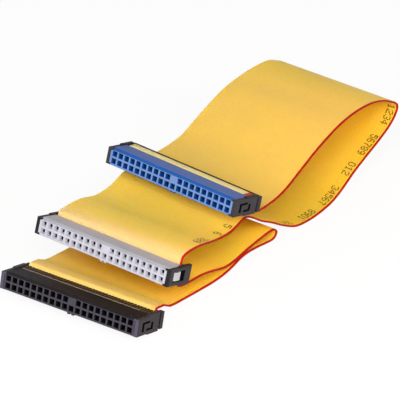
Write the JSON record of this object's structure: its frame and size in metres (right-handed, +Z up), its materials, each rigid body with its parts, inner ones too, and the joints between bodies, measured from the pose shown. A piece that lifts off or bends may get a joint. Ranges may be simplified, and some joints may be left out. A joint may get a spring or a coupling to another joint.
{
  "type": "ribbon cable",
  "caption": "Flat yellow ribbon cable with a marked red edge and crimped-on blue, grey and black sockets, folded back on itself in a loop.",
  "frame": {"origin": "on the surface that the cable lies on, under the middle of the box round the three sockets", "axes": "+X runs across the ribbon towards its red edge, -Y is the way the sockets face, +Z is up"},
  "size_m": [0.0555, 0.1654, 0.0313],
  "materials": {
    "black_plastic": "matt moulded, slightly cool black",
    "cover_plastic": "matt moulded black",
    "grey_plastic": "matt moulded light grey",
    "blue_plastic": "matt moulded blue",
    "contact_metal": "gold-flashed stamped contact",
    "tinned_metal": "tinned stamped strip",
    "ribbon_jacket": "soft yellow jacket with fine ridges along it",
    "marked_jacket": "red marked edge"
  },
  "bodies": {
    "root": {"black_body": "black_plastic", "black_upper_contacts": "contact_metal", "black_lower_contacts": "contact_metal", "black_ground_bar": "tinned_metal", "black_cover": "cover_plastic", "black_strain_relief": "cover_plastic", "grey_body": "grey_plastic", "grey_upper_contacts": "contact_metal", "grey_lower_contacts": "contact_metal", "grey_ground_bar": "tinned_metal", "grey_cover": "cover_plastic", "blue_body": "blue_plastic", "blue_upper_contacts": "contact_metal", "blue_lower_contacts": "contact_metal", "blue_ground_bar": "tinned_metal", "blue_cover": "cover_plastic", "blue_strain_relief": "cover_plastic", "ribbon": "ribbon_jacket", "marked_core": "marked_jacket"}
  },
  "joints": []
}
